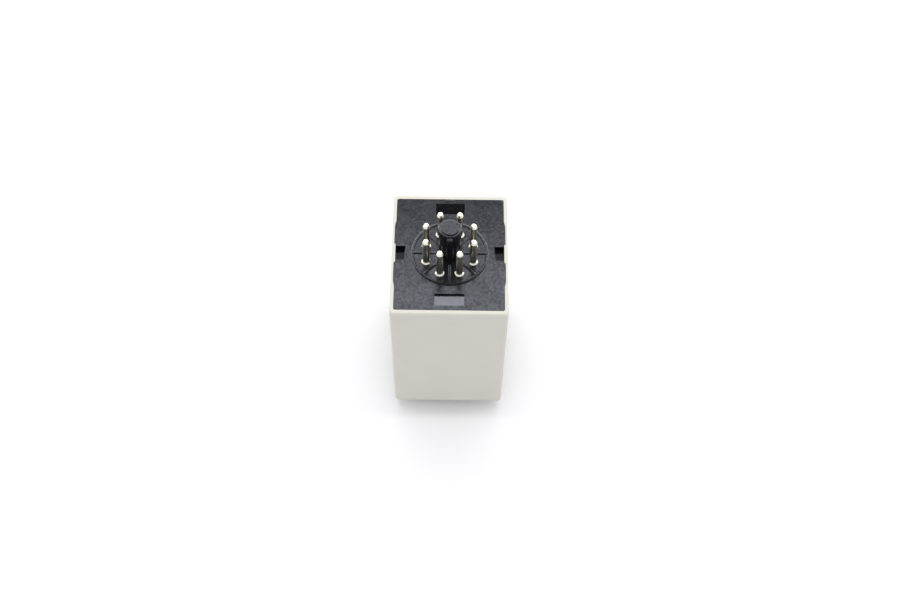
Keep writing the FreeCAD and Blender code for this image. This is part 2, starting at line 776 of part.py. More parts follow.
def ic_leads():
    z = Z_DECK + IC_RISE
    first = -(IC_PINS - 1) / 2 * IC_PITCH
    return [
        (IC_AT_Y + side * IC_ROW / 2, z + first + i * IC_PITCH)
        for side in (-1, 1)
        for i in range(IC_PINS)
    ]


def make_timer_ic():
    """The timing circuit: a two-row package with bent legs and a notch at one end."""
    z = Z_DECK + IC_RISE
    x1 = UPRIGHT_X - IC_STANDOFF
    x0 = x1 - IC_T
    middle = (x0 + x1) / 2
    near = IC_Y / 2 - IC_SLANT
    far = IC_Y / 2
    section = [(x0, -near), (middle, -far), (x1, -near), (x1, near), (middle, far), (x0, near)]
    body = prism([(x, IC_AT_Y + y, z - IC_Z / 2) for x, y in section], (0, 0, IC_Z))
    end = z + IC_Z / 2
    y0 = IC_AT_Y - IC_NOTCH
    y1 = IC_AT_Y + IC_NOTCH
    body = body.cut(box(x0 - PAST, x0 + IC_NOTCH_DEPTH, y0, y1, end - IC_NOTCH, end + PAST))
    half = IC_LEG / 2
    legs = []
    for y, lz in ic_leads():
        inward = math.copysign(1, IC_AT_Y - y)
        y0, y1 = sorted((y - inward * half, IC_AT_Y - inward * near))
        legs.append(box(middle - half, middle + half, y0, y1, lz - half, lz + half))
        legs.append(box(middle, UPRIGHT_X, y - half, y + half, lz - half, lz + half))
    return fused([body, *legs])


def make_chips():
    """Chip resistors, flat on the board in rows."""
    half_y = CHIP_Y / 2
    half_z = CHIP_Z / 2
    chips = []
    for y in CHIP_YS:
        for rise in CHIP_RISES:
            z = Z_DECK + rise
            chips.append(box(UPRIGHT_X - CHIP_T, UPRIGHT_X, y - half_y, y + half_y, z - half_z, z + half_z))
    return Part.makeCompound(chips)


def make_transistor():
    """The relay's driver: a small round package with a flat, on three legs."""
    z = Z_DECK + TRANSISTOR_RISE
    y = TRANSISTOR_Y
    x1 = UPRIGHT_X - TRANSISTOR_LIFT
    x0 = x1 - TRANSISTOR_H
    body = rod(TRANSISTOR_R, (x0, y, z), (x1, y, z))
    flat = y + TRANSISTOR_CUT
    far = y + TRANSISTOR_R + PAST
    body = body.cut(box(x0 - PAST, x1 + PAST, flat, far, z - TRANSISTOR_R, z + TRANSISTOR_R))
    legs = [
        board_lead(1, y, z + i * TRANSISTOR_PITCH, TRANSISTOR_LIFT + SINK)
        for i in (-1, 0, 1)
    ]
    return fused([body, *legs])


# Signal lamps

def lens_block(x, grow, z0, z1):
    half_x = LENS_X / 2 + grow
    half_y = LENS_Y / 2 + grow
    return box(x - half_x, x + half_x, LAMP_Y - half_y, LAMP_Y + half_y, z0, z1)


def make_lens(side):
    """A window pressed into the front wall, flanged inside."""
    x = side * LAMP_X
    stem = lens_block(x, 0, Z_FRONT, Z_INSIDE + LENS_FLANGE_T / 2)
    flange = lens_block(x, LENS_FLANGE, Z_INSIDE, Z_INSIDE + LENS_FLANGE_T)
    return fused([stem, flange])


def make_lamp(side):
    """A flat lamp that hangs on its two leads from the front board, its nose at the window."""
    x = side * LAMP_X
    nose = Z_INSIDE + LENS_FLANGE_T + LAMP_GAP
    back = nose + LAMP_H
    half_w = LAMP_W / 2
    half_t = LAMP_T / 2
    body = box(x - half_w, x + half_w, LAMP_Y - half_t, LAMP_Y + half_t, nose, back)
    leads = [
        post(LEAD_W, x + dx, LAMP_Y, back, Z_FRONT_BOARD)
        for dx in (-LAMP_PITCH / 2, LAMP_PITCH / 2)
    ]
    return fused([body, *leads])


# Potentiometer

def make_pot_case():
    """The square cup and round bush that carry the shaft."""
    back = Z_FRONT_BOARD - WAFER_T
    cup = post(POT_W, 0, 0, Z_POT, back)
    bush = rod(BUSH_R, (0, 0, Z_POT - BUSH_H), (0, 0, Z_POT + POT_WALL / 2))
    room = post(POT_W - 2 * POT_WALL, 0, 0, Z_POT + POT_WALL, back)
    bore = rod(SHAFT_R + SHAFT_FIT, (0, 0, Z_POT - BUSH_H - PAST), (0, 0, back))
    return fused([cup, bush]).cut(room).cut(bore)


def make_pot_wafer():
    """The wafer with the resistance track, which closes the cup on the front board."""
    return post(POT_W, 0, 0, Z_FRONT_BOARD - WAFER_T, Z_FRONT_BOARD)


def rotor_level():
    """Underside of the rotor disc inside the cup."""
    return Z_POT + POT_WALL + ROTOR_GAP


def shaft_section(radius, z0, z1):
    """A stretch of round shaft with its flat, on the +Y side."""
    full = rod(radius, (0, 0, z0), (0, 0, z1))
    flat = SHAFT_R - SHAFT_FLAT + (radius - SHAFT_R)
    return full.cut(box(-2 * radius, 2 * radius, flat, 2 * radius, z0 - PAST, z1 + PAST))


def make_pot_shaft():
    """The shaft with its rotor disc, flatted where the knob drives it."""
    level = rotor_level()
    plain = rod(SHAFT_R, (0, 0, FLAT_END), (0, 0, level + ROTOR_T))
    rotor = rod(ROTOR_R, (0, 0, level), (0, 0, level + ROTOR_T))
    return fused([shaft_section(SHAFT_R, SHAFT_TIP, FLAT_END), plain, rotor])


def make_wiper():
    """The spring strip on the rotor that reaches for the track."""
    level = rotor_level() + ROTOR_T
    tip = Z_FRONT_BOARD - WAFER_T - WIPER_GAP
    half = WIPER_W / 2
    inner = SHAFT_R
    outer = ROTOR_R - WIPER_T
    profile = [
        (-half, -inner, level),
        (-half, outer - 2 * WIPER_T, level),
        (-half, outer, tip - WIPER_T),
        (-half, outer, tip),
        (-half, outer - WIPER_T, tip),
        (-half, outer - 3 * WIPER_T, level + WIPER_T),
        (-half, -inner, level + WIPER_T),
    ]
    return prism(profile, (WIPER_W, 0, 0))


def ridged_rim():
    """The grip of the knob: a wall of upright ridges about its rim."""
    step = math.radians(360 / KNOB_RIDGES)
    root = KNOB_R - RIDGE_H
    foot = RIDGE_SHARE + RIDGE_FLANK
    corners = ((0, KNOB_R), (RIDGE_SHARE, KNOB_R), (foot, root), (foot + RIDGE_SHARE, root))
    points = []
    for i in range(KNOB_RIDGES):
        for share, radius in corners:
            angle = (i + share - RIDGE_SHARE / 2) * step
            points.append((radius * math.sin(angle), radius * math.cos(angle), KNOB_EDGE))
    return prism(points, (0, 0, Z_FRONT - KNOB_GAP - KNOB_EDGE))


def make_knob():
    """The setting knob: a ridged cup with a flatted boss that enters the case."""
    skirt = Z_FRONT - KNOB_GAP
    root = KNOB_R - RIDGE_H
    cap = turned([(0, 0), (root - KNOB_EDGE, 0), (root, KNOB_EDGE), (0, KNOB_EDGE)])
    room = rod(KNOB_R - KNOB_WALL, (0, 0, KNOB_CAP), (0, 0, skirt + PAST))
    cup = fused([cap, ridged_rim()]).cut(room)
    boss = rod(BOSS_R, (0, 0, KNOB_CAP - SINK), (0, 0, BOSS_END))
    wall = KNOB_R - KNOB_WALL + SINK
    web = box(BOSS_R - SINK, wall, -WEB_T / 2, WEB_T / 2, KNOB_CAP - SINK, skirt - WEB_DROP)
    webs = [web.rotated(V(0, 0, 0), Z_AXIS, (i + 0.5) * 360 / KNOB_WEBS) for i in range(KNOB_WEBS)]
    bore = shaft_section(SHAFT_R + BORE_CLEAR, SHAFT_TIP - SLOT_CLEAR, BOSS_END + PAST)
    pointer = box(-POINTER_W / 2, POINTER_W / 2, POINTER_START, POINTER_END, -PAST, POINTER_DEPTH)
    return fused([cup, boss, *webs]).cut(bore).cut(pointer)


def export(name, shape):
    shape.exportStep(os.path.join(OUT, name + ".step"))


def main():
    os.makedirs(OUT, exist_ok=True)
    export("case", make_case())
    export("plug_base", make_plug())
    for number, (x, y) in enumerate(octal_spots(), 1):
        export(f"pin_{number}", make_pin(x, y))
    export("base_board", flat_board(BASE_BOARD_X, BASE_BOARD_Y, Z_BASE_BOARD))
    export("front_board", flat_board(FRONT_BOARD_X, FRONT_BOARD_Y, Z_FRONT_BOARD))
    export("power_board", make_upright_board(-1))
    export("relay_board", make_upright_board(1))
    export("transformer_core", make_core())
    export("transformer_bobbin", make_bobbin())
    export("primary_winding", make_winding(1))
    export("secondary_winding", make_winding(-1))
    export("filter_capacitor", make_can(FILTER_R, FILTER_H, FILTER_RISE))
    export("timing_capacitor", make_can(TIMING_R, TIMING_H, TIMING_RISE))
    export("rectifier_diodes", make_diodes())
    export("surge_absorber", make_surge_disc())
    export("relay", make_relay())
    export("film_capacitor", make_film_capacitor())
    export("timer_ic", make_timer_ic())
    export("chip_resistors", make_chips())
    export("relay_driver", make_transistor())
    for name, side in (("power", -1), ("output", 1)):
        export(f"{name}_lens", make_lens(side))
        export(f"{name}_lamp", make_lamp(side))
    export("pot_case", make_pot_case())
    export("pot_wafer", make_pot_wafer())
    export("pot_shaft", make_pot_shaft())
    export("pot_wiper", make_wiper())
    export("knob", make_knob())


main()
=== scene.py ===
import json
import math

import bmesh
import bpy
from mathutils import Matrix, Vector


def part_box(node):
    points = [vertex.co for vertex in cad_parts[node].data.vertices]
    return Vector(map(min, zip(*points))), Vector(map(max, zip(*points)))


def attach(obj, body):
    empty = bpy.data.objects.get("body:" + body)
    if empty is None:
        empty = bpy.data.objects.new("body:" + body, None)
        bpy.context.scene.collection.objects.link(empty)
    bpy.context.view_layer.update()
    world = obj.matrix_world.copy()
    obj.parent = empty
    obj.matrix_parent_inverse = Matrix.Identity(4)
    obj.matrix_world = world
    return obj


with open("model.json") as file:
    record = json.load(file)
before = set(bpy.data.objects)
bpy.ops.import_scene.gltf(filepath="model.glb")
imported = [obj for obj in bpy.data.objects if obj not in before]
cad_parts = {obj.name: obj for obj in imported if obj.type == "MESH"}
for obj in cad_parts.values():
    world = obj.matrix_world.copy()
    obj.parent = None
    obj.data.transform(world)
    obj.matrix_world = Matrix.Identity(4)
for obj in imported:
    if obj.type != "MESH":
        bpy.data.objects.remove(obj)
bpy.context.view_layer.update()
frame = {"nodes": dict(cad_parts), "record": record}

# Plug-in timer relay, standing on its setting knob with its octal plug up. Lengths are in metres,
# in the frame of the CAD: X to the right, Y away from the photograph's camera, Z up.

MM = 0.001

# Levels, read from the frame
CASE_LOW, CASE_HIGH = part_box("case")
Z_FRONT = CASE_LOW.z
Z_RIM = CASE_HIGH.z
Z_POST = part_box("plug_base")[1].z
Z_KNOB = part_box("knob")[0].z

# Camera, fitted to the photograph: aimed at the middle of the plug plate, then moved aside and down
LENS_MM = 55.0
SENSOR_MM = 36.0
CAMERA_DISTANCE = 0.47239
CAMERA_ELEVATION = math.radians(56.72)
CAMERA_AZIMUTH = math.radians(0.012)
CAMERA_ROLL = math.radians(0.714)
CAMERA_ASIDE = 0.074 * MM
CAMERA_LIFT = -16.028 * MM

# Floor. Its glow rises between two distances from the object and evens it out beyond the lamps.
FLOOR_SIZE = 6.0
FLOOR_TONE = (246, 246, 249)
FLOOR_ROUGHNESS = 0.8
FLOOR_GLOSS = 0.2
FLOOR_GLOW = 0.3
GLOW_START = 0.15
GLOW_FULL = 0.6

# Of the white surround's light, what falls on the object and the floor
AMBIENT = 0.9

# Lamps above and behind the object: elevation, distance, place to the side, width, height, radiance
KEY = (math.radians(62), 0.25, 0.0, 0.35, 0.07, 3.1)
TOP = (math.radians(89.4), 0.60, 0.03, 0.60, 0.03, 15.8)

# The surround as reflections see it: white, with a dark ceiling and a bright back low down. The
# ceiling goes by the angle from its middle. The back goes by how far and how high a direction
# points, and fades out from its top to its edge.
CEILING_TOWARD = (0.0, -0.09, 0.996)
CEILING_WHITE = 0.08
CEILING_EDGE = math.cos(math.radians(42))
CEILING_FULL = math.cos(math.radians(20))
BACK_WHITE = 4.5
BACK_START = 0.05
BACK_FULL = 0.45
BACK_TOP = math.sin(math.radians(30))
BACK_EDGE = math.sin(math.radians(44))

# Rounding of the moulded edges: its width, and the least angle between two faces that gets it
EDGE_ROUNDS = {
    "plug_base": (0.08 * MM, math.radians(12)),
    "knob": (0.1 * MM, math.radians(34)),
}
EDGE_SEGMENTS = 2
LARGE_FACES_FIRST = 100   # the end of the modifier's scale where large faces keep their shading
WELD_DISTANCE = 0.001 * MM

# Finish of the plug: pits and lumps of spark erosion, and faint clouds
PLUG_PIT = 0.45 * MM
PLUG_PIT_DEPTH = 0.012 * MM
PLUG_LUMP = 0.9 * MM
PLUG_LUMP_DEPTH = 0.03 * MM
PLUG_CLOUD = 5 * MM
PLUG_GLOSS = (0.32, 0.68)

# Its recesses, by their depth below the rim: the floor of the pocket on the key's side reflects more
# than the plate, a painted sheen, and the floors of the side notches, with all as deep, reflect less,
# a painted shade
POCKET_FLOOR = 0.85 * MM
POCKET_END = -16.5 * MM
POCKET_PAINTED_SHEEN = 1.1
NOTCH_FLOOR = 2.2 * MM
NOTCH_PAINTED_SHADE = 0.16
FLOOR_SLACK = 0.1 * MM

# Dial printed on the front of the case, about the knob, which has this radius over its ridges
KNOB_R = 13.5 * MM
DIAL_SWEEP = math.radians(270)
DIAL_NUMBERS = 11
DIAL_STEPS = 4            # small divisions between two numbers
TICK_START = KNOB_R + 0.8 * MM
TICK_LONG = 1.4 * MM
TICK_SHORT = 0.8 * MM
TICK_WIDE = 0.28 * MM
TICK_NARROW = 0.18 * MM
PRINT_T = 0.02 * MM
NUMBER_R = KNOB_R + 3.6 * MM
NUMBER_SIZE = 2.3 * MM
NUMBER_STEPS = 4          # straight pieces in each curve of a number
NUMBER_MERGE = PRINT_T / 20

# Paint in the knob's pointer groove
POINTER_START = 5.7 * MM
POINTER_END = KNOB_R - 2.2 * MM
POINTER_HALF = 0.46 * MM
POINTER_FLOOR = Z_KNOB + 0.35 * MM
POINTER_TOP = Z_KNOB + 0.15 * MM
POINTER_STEPS = 8         # straight pieces in each round end

# Mould marks
EJECTOR_SPOTS = ((-9.9 * MM, -17.6 * MM), (10.9 * MM, -19.6 * MM))
EJECTOR_R = 1.5 * MM
EJECTOR_H = 0.05 * MM
GATE_R = 0.5 * MM
GATE_H = 0.07 * MM
MARK_SINK = 0.03 * MM
MARK_STEPS = 48


# Materials

# A wave node turns by this many radians in one unit of length
WAVE_TURN = 20

# Sockets of a mix node that belong to colours
MIX_FACTOR = 0
MIX_FIRST = 6
MIX_SECOND = 7
MIX_RESULT = 2

# Width of the faint clouds in moulded plastic
MOULDED_CLOUD = 9 * MM


def tone(red, green, blue):
    """A colour given on the 0 to 255 scale, as linear light by the sRGB curve."""
    linear = []
    for value in (red, green, blue):
        share = value / 255
        linear.append(share / 12.92 if share <= 0.04045 else ((share + 0.055) / 1.055) ** 2.4)
    return tuple(linear)


def math_node(tree, operation, first, second):
    node = tree.nodes.new("ShaderNodeMath")
    node.operation = operation
    for socket, value in zip(node.inputs, (first, second)):
        if isinstance(value, bpy.types.NodeSocket):
            tree.links.new(value, socket)
        else:
            socket.default_value = value
    return node.outputs[0]


def ranged(tree, value, start, end, low, high, smooth=False):
    """A value from start to end, laid out from low to high."""
    node = tree.nodes.new("ShaderNodeMapRange")
    if smooth:
        node.interpolation_type = "SMOOTHSTEP"
    tree.links.new(value, node.inputs["Value"])
    limits = {"From Min": start, "From Max": end, "To Min": low, "To Max": high}
    for socket, number in limits.items():
        node.inputs[socket].default_value = number
    return node.outputs["Result"]


def blend(tree, first, second, share):
    """Between two values, by the share that the second has."""
    change = math_node(tree, "MULTIPLY", math_node(tree, "SUBTRACT", second, first), share)
    return math_node(tree, "ADD", first, change)


class Look:
    """A procedural material about one principled shader, with its tone on the 0 to 255 scale."""

    def __init__(self, name, color, roughness, metallic=0.0, **sockets):
        self.material = bpy.data.materials.new(name)
        self.material.use_nodes = True
        self.tree = self.material.node_tree
        self.shader = self.tree.nodes["Principled BSDF"]
        self.color = tone(*color)
        self.roughness = roughness
        self.set("Base Color", (*self.color, 1.0))
        self.set("Roughness", roughness)
        self.set("Metallic", metallic)
        for socket, value in sockets.items():
            self.set(socket.replace("_", " "), value)

    def set(self, socket, value):
        self.shader.inputs[socket].default_value = value

    def node(self, kind, **inputs):
        made = self.tree.nodes.new(kind)
        for socket, value in inputs.items():
            target = made.inputs[socket.replace("_", " ")]
            if isinstance(value, bpy.types.NodeSocket):
                self.tree.links.new(value, target)
            else:
                target.default_value = value
        return made

    def link(self, source, socket):
        self.tree.links.new(source, self.shader.inputs[socket])

    def grain(self, size, detail=2.0, stretch=(1.0, 1.0, 1.0)):
        """Soft noise with lumps about this wide."""
        where = self.node("ShaderNodeTexCoord").outputs["Object"]
        placed = self.node("ShaderNodeMapping", Vector=where, Scale=stretch).outputs["Vector"]
        noise = self.node("ShaderNodeTexNoise", Vector=placed, Scale=1 / size, Detail=detail)
        return noise.outputs["Fac"]

    def cells(self, size):
        """Pits and lumps about this wide, as spark erosion leaves them."""
        where = self.node("ShaderNodeTexCoord").outputs["Object"]
        return self.node("ShaderNodeTexVoronoi", Vector=where, Scale=1 / size).outputs["Distance"]

    def bands(self, size, axis):
        """Even bands across an axis, such as wire or laminations."""
        where = self.node("ShaderNodeTexCoord").outputs["Object"]
        wave = self.node("ShaderNodeTexWave", Vector=where, Scale=math.tau / WAVE_TURN / size)
        wave.wave_type = "BANDS"
        wave.bands_direction = axis
        return wave.outputs["Fac"]

    def spread(self, value, low=0.0, high=1.0, start=0.3, end=0.7):
        """A value from start to end, laid out from low to high."""
        return ranged(self.tree, value, start, end, low, high)

    def tint(self, value, dark, light):
        """Base colour between two shades of the look's own colour."""
        mix = self.tree.nodes.new("ShaderNodeMix")
        mix.data_type = "RGBA"
        self.tree.links.new(value, mix.inputs[MIX_FACTOR])
        mix.inputs[MIX_FIRST].default_value = (*(dark * c for c in self.color), 1.0)
        mix.inputs[MIX_SECOND].default_value = (*(light * c for c in self.color), 1.0)
        self.link(mix.outputs[MIX_RESULT], "Base Color")

    def polish(self, value, low, high):
        """Roughness that varies by this much either side."""
        self.link(self.spread(value, self.roughness + low, self.roughness + high), "Roughness")

    def relief(self, *layers):
        """Bumps, from pairs of height pattern and depth in metres."""
        normal = None
        for height, depth in layers:
            bump = self.node("ShaderNodeBump", Height=height, Distance=depth, Strength=1.0)
            if normal:
                self.tree.links.new(normal, bump.inputs["Normal"])
            normal = bump.outputs["Normal"]
        self.link(normal, "Normal")


def moulded(name, color, roughness, grain_size, depth):
    """Moulded plastic: a fine even grain and faint clouds."""
    look = Look(name, color, roughness)
    fine = look.grain(grain_size, detail=3.0)
    cloud = look.grain(MOULDED_CLOUD)
    look.tint(look.spread(cloud), dark=0.985, light=1.015)
    look.polish(fine, -0.04, 0.05)
    look.relief((fine, depth))
    return look.material


def recess_masks(look):
    """Two masks, for a painted sheen on the floor of the pocket on the key's side, and for painted
    shade on all as deep as the notches' floors.
    """
    where = look.node("ShaderNodeTexCoord").outputs["Object"]
    axes = look.node("ShaderNodeSeparateXYZ", Vector=where).outputs
    sunk = math_node(look.tree, "SUBTRACT", Z_RIM, axes["Z"])
    tests = (
        ("GREATER_THAN", sunk, POCKET_FLOOR - FLOOR_SLACK),
        ("LESS_THAN", axes["Y"], POCKET_END),
        ("LESS_THAN", sunk, POCKET_FLOOR + FLOOR_SLACK),
    )
    sheen_mask = 1.0
    for operation, value, limit in tests:
        passed = math_node(look.tree, operation, value, limit)
        sheen_mask = math_node(look.tree, "MULTIPLY", sheen_mask, passed)
    return sheen_mask, math_node(look.tree, "GREATER_THAN", sunk, NOTCH_FLOOR - FLOOR_SLACK)


def plug_black(name):
    """Black moulding with a coarser spark-eroded grain that catches the light in specks."""
    look = Look(name, (17, 17, 20), roughness=0.2, Specular_Tint=(0.84, 0.88, 1.0, 1.0))
    pits = look.cells(PLUG_PIT)
    lumps = look.grain(PLUG_LUMP, detail=3.0)
    cloud = look.grain(PLUG_CLOUD, detail=3.0)
    look.tint(look.spread(cloud), dark=0.8, light=1.35)
    look.polish(cloud, -0.04, 0.06)
    # Painted sheen on the pocket floor and painted shade in the deep notches: the reflection is raised
    # and lowered there
    sheen_mask, shade_mask = recess_masks(look)
    gloss_and_painted_sheen = blend(look.tree, look.spread(lumps, *PLUG_GLOSS), POCKET_PAINTED_SHEEN, sheen_mask)
    look.link(blend(look.tree, gloss_and_painted_sheen, NOTCH_PAINTED_SHADE, shade_mask), "Specular IOR Level")
    look.relief((pits, PLUG_PIT_DEPTH), (lumps, PLUG_LUMP_DEPTH))
    return look.material


def pin_nickel(name):
    """Nickel plate with faint streaks along the pins."""
    look = Look(name, (226, 222, 208), roughness=0.28, metallic=1.0)
    drawn = look.grain(0.9 * MM, stretch=(1.0, 1.0, 0.08))
    look.tint(look.spread(drawn), dark=0.92, light=1.12)
    look.polish(drawn, -0.04, 0.05)
    look.relief((drawn, 0.001 * MM))
    return look.material


def board_green(name):
    """Solder mask over faint tracks."""
    look = Look(name, (32, 108, 66), roughness=0.35, Coat_Weight=0.4)
    tracks = look.grain(2.2 * MM, detail=0.0, stretch=(1.0, 3.0, 1.0))
    look.tint(look.spread(tracks, start=0.48, end=0.52), dark=0.75, light=1.15)
    look.relief((tracks, 0.01 * MM))
    return look.material


def banded(name, color, roughness, metallic, band, axis, depth):
    """Something wound or stacked in even layers."""
    look = Look(name, color, roughness, metallic)
    layers = look.bands(band, axis)
    look.tint(layers, dark=0.65, light=1.1)
    look.relief((layers, depth))
    return look.material


def brushed(name, color, roughness, stretch):
    """Plated or rolled metal with fine lines."""
    look = Look(name, color, roughness, metallic=1.0)
    lines = look.grain(0.4 * MM, detail=4.0, stretch=stretch)
    look.tint(look.spread(lines), dark=0.85, light=1.05)
    look.polish(lines, -0.08, 0.1)
    look.relief((lines, 0.004 * MM))
    return look.material


def lens(name, color):
    """Tinted clear plastic window, lightly frosted by its moulded pattern."""
    look = Look(name, color, roughness=0.12, Transmission_Weight=0.55, IOR=1.49)
    ribs = look.bands(0.5 * MM, "X")
    look.tint(ribs, dark=0.85, light=1.1)
    look.relief((ribs, 0.03 * MM))
    return look.material


def print_black():
    """Screen print: flat black with thin spots."""
    look = Look("print_black", (38, 38, 40), roughness=0.5)
    spots = look.grain(0.12 * MM)
    look.tint(look.spread(spots), dark=0.85, light=1.3)
    look.polish(spots, -0.05, 0.05)
    return look.material


def pointer_white():
    """White paint flowed into the groove."""
    look = Look("pointer_white", (238, 237, 232), roughness=0.35)
    flow = look.grain(0.8 * MM)
    look.tint(look.spread(flow), dark=0.93, light=1.02)
    look.relief((flow, 0.02 * MM))
    return look.material


# Each slot's finish: the function that makes it, and what that function asks for after the name.
# Moulded: tone, roughness, width and depth of the grain. Banded: tone, roughness, metal, width of a
# band, its axis and depth. Brushed: tone, roughness, and how its lines are squeezed along each axis.
FINISHES = {
    "case_ivory": (moulded, (202, 199, 190), 0.42, 0.22 * MM, 0.012 * MM),
    "plug_black": (plug_black,),
    "pin_nickel": (pin_nickel,),
    "knob_black": (moulded, (34, 34, 37), 0.40, 0.25 * MM, 0.006 * MM),
    "board_green": (board_green,),
    "core_steel": (banded, (120, 118, 114), 0.45, 0.9, 0.5 * MM, "X", 0.02 * MM),
    "winding_copper": (banded, (170, 88, 38), 0.3, 0.85, 0.3 * MM, "Z", 0.05 * MM),
    "bobbin_nylon": (moulded, (232, 228, 214), 0.45, 0.5 * MM, 0.01 * MM),
    "can_sleeve": (moulded, (34, 40, 66), 0.3, 1.5 * MM, 0.02 * MM),
    "film_box": (moulded, (206, 168, 70), 0.3, 0.6 * MM, 0.01 * MM),
    "part_black": (moulded, (40, 40, 42), 0.5, 0.2 * MM, 0.01 * MM),
    "chip_ceramic": (moulded, (48, 50, 56), 0.3, 0.3 * MM, 0.01 * MM),
    "disc_blue": (moulded, (46, 92, 170), 0.28, 1.2 * MM, 0.05 * MM),
    "relay_grey": (moulded, (70, 72, 76), 0.3, 0.8 * MM, 0.01 * MM),
    "pot_steel": (brushed, (200, 200, 196), 0.3, (1.0, 8.0, 1.0)),
    "pot_wafer": (moulded, (140, 98, 58), 0.55, 0.7 * MM, 0.02 * MM),
    "shaft_nylon": (moulded, (228, 226, 216), 0.4, 0.5 * MM, 0.01 * MM),
    "wiper_bronze": (brushed, (206, 160, 96), 0.28, (8.0, 1.0, 1.0)),
    "lens_green": (lens, (46, 176, 80)),
    "lens_red": (lens, (205, 40, 36)),
    "lamp_clear": (moulded, (224, 228, 224), 0.15, 1.0 * MM, 0.01 * MM),
}


def dress_nodes():
    """Every CAD node gets the look of its slot."""
    looks = {}
    for part in frame["record"]["subparts"]:
        slot = part["material_slot"]
        if slot not in looks:
            make, *finish = FINISHES[slot]
            looks[slot] = make(slot, *finish)
        frame["nodes"][part["node"]].material_slots[0].material = looks[slot]
    return looks


def soften(node, width, angle):
    """Rounds the sharp edges of a moulded node a little, as its mould does."""
    piece = frame["nodes"][node]
    weld = piece.modifiers.new("weld", "WELD")
    weld.merge_threshold = WELD_DISTANCE
    bevel = piece.modifiers.new("edges", "BEVEL")
    bevel.width = width
    bevel.segments = EDGE_SEGMENTS
    bevel.use_clamp_overlap = False
    bevel.limit_method = "ANGLE"
    bevel.angle_limit = angle
    shading = piece.modifiers.new("shading", "WEIGHTED_NORMAL")
    shading.weight = LARGE_FACES_FIRST


# Pieces

def add_piece(name, mesh, material, body):
    """A mesh as a visible piece that rides on a body."""
    piece = bpy.data.objects.new(name, mesh)
    bpy.context.scene.collection.objects.link(piece)
    mesh.materials.clear()
    mesh.materials.append(material)
    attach(piece, body)


def to_mesh(name, bm):
    bmesh.ops.recalc_face_normals(bm, faces=bm.faces)
    mesh = bpy.data.meshes.new(name)
    bm.to_mesh(mesh)
    bm.free()
    return mesh


def add_slab(bm, outline, low, high):
    """A flat slab over an outline of (x, y) points."""
    rings = [[bm.verts.new((x, y, z)) for x, y in outline] for z in (low, high)]
    bm.faces.new(rings[0])
    bm.faces.new(rings[1])
    count = len(outline)
    for i in range(count):
        j = (i + 1) % count
        bm.faces.new((rings[0][i], rings[0][j], rings[1][j], rings[1][i]))


def add_mark(bm, centre, radius, low, high, edge):
    """A low round mark with a sloping edge."""
    levels = ((radius, low), (radius, high - edge), (radius - edge, high))
    rings = []
    for r, z in levels:
        ring = []
        for i in range(MARK_STEPS):
            angle = i * math.tau / MARK_STEPS
            x = centre[0] + r * math.cos(angle)
            y = centre[1] + r * math.sin(angle)
            ring.append(bm.verts.new((x, y, z)))
        rings.append(ring)
    for lower, upper in zip(rings, rings[1:]):
        for i in range(MARK_STEPS):
            j = (i + 1) % MARK_STEPS
            bm.faces.new((lower[i], lower[j], upper[j], upper[i]))
    bm.faces.new(rings[0])
    bm.faces.new(rings[-1])


def dial_place(angle, radius):
    """A place on the front, clockwise from the top for someone who looks at the dial."""
    return Vector((-radius * math.sin(angle), radius * math.cos(angle), Z_FRONT))


def add_dial_ticks(material):
    """The scale about the knob, with a longer tick at each number."""
    bm = bmesh.new()
    count = (DIAL_NUMBERS - 1) * DIAL_STEPS
    for i in range(count + 1):
        angle = (i / count - 0.5) * DIAL_SWEEP
        at_number = i % DIAL_STEPS == 0
        half = (TICK_WIDE if at_number else TICK_NARROW) / 2
        length = TICK_LONG if at_number else TICK_SHORT
        along = dial_place(angle, 1.0).xy
        across = Vector((-along.y, along.x)) * half
        start = along * TICK_START
        end = along * (TICK_START + length)
        outline = (start - across, start + across, end + across, end - across)
        add_slab(bm, outline, Z_FRONT - PRINT_T, Z_FRONT + PRINT_T)
    add_piece("dial_ticks", to_mesh("dial_ticks", bm), material, "housing")


def add_dial_numbers(material):
    """Plain numbers, upright for someone who looks at the dial."""
    bm = bmesh.new()
    facing = Matrix.Rotation(math.pi, 4, "Y")
    for number in range(DIAL_NUMBERS):
        text = bpy.data.curves.new("number", "FONT")
        text.body = str(number)
        text.size = NUMBER_SIZE
        text.align_x = "CENTER"
        text.align_y = "CENTER"
        text.extrude = PRINT_T
        text.resolution_u = NUMBER_STEPS
        holder = bpy.data.objects.new("number", text)
        mesh = bpy.data.meshes.new_from_object(holder)
        angle = (number / (DIAL_NUMBERS - 1) - 0.5) * DIAL_SWEEP
        mesh.transform(Matrix.Translation(dial_place(angle, NUMBER_R)) @ facing)
        bm.from_mesh(mesh)
        bpy.data.meshes.remove(mesh)
        bpy.data.objects.remove(holder)
        bpy.data.curves.remove(text)
    bmesh.ops.remove_doubles(bm, verts=bm.verts, dist=NUMBER_MERGE)
    add_piece("dial_numbers", to_mesh("dial_numbers", bm), material, "housing")


def add_pointer_paint(material):
    """A rounded strip of paint in the knob's groove."""
    bm = bmesh.new()
    outline = []
    ends = ((POINTER_END - POINTER_HALF, 0.0), (POINTER_START + POINTER_HALF, math.pi))
    for middle, turn in ends:
        for i in range(POINTER_STEPS + 1):
            angle = turn + i * math.pi / POINTER_STEPS
            x = POINTER_HALF * math.cos(angle)
            outline.append((x, middle + POINTER_HALF * math.sin(angle)))
    add_slab(bm, outline, POINTER_TOP, POINTER_FLOOR)
    add_piece("pointer_paint", to_mesh("pointer_paint", bm), material, "dial")


def add_mould_marks(material):
    """Ejector marks on the plate and the gate's trace on the post."""
    bm = bmesh.new()
    for spot in EJECTOR_SPOTS:
        add_mark(bm, spot, EJECTOR_R, Z_RIM - MARK_SINK, Z_RIM + EJECTOR_H, EJECTOR_H)
    add_mark(bm, (0.0, 0.0), GATE_R, Z_POST - MARK_SINK, Z_POST + GATE_H, GATE_H)
    add_piece("mould_marks", to_mesh("mould_marks", bm), material, "housing")


# Studio

